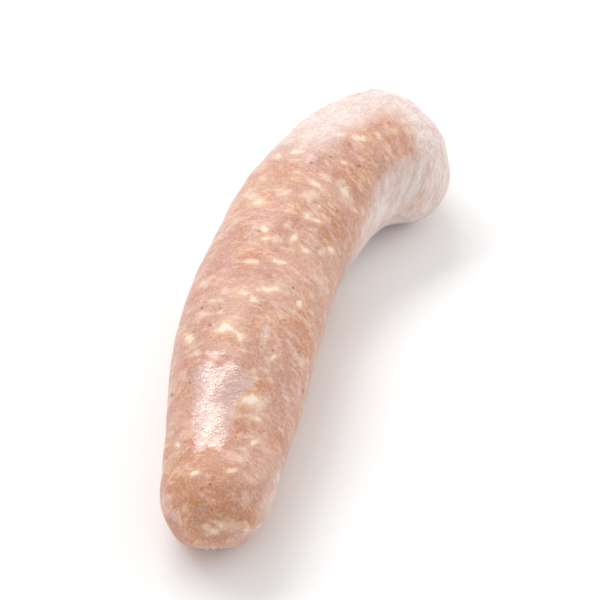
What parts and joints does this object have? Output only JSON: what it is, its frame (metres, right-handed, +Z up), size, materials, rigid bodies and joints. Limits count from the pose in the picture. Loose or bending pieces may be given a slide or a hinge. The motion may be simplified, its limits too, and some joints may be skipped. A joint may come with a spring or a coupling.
{
  "type": "raw sausage link",
  "caption": "Plump raw sausage link in a natural casing, lying on its side, bent at its back end, with rounded ends, each gathered in pleats into a small knot of casing at its tip.",
  "frame": {"origin": "middle of the foot of the link's bounding box, on the surface it lies on", "axes": "+Y from the slimmer front end towards the bent back end, +X to the side that the back end bends to, +Z up"},
  "size_m": [0.0702, 0.142, 0.0313],
  "materials": {
    "stuffed_casing": "moist satin casing over mottled pink-tan ground meat"
  },
  "bodies": {
    "root": {"sausage_link": "stuffed_casing"}
  },
  "joints": []
}
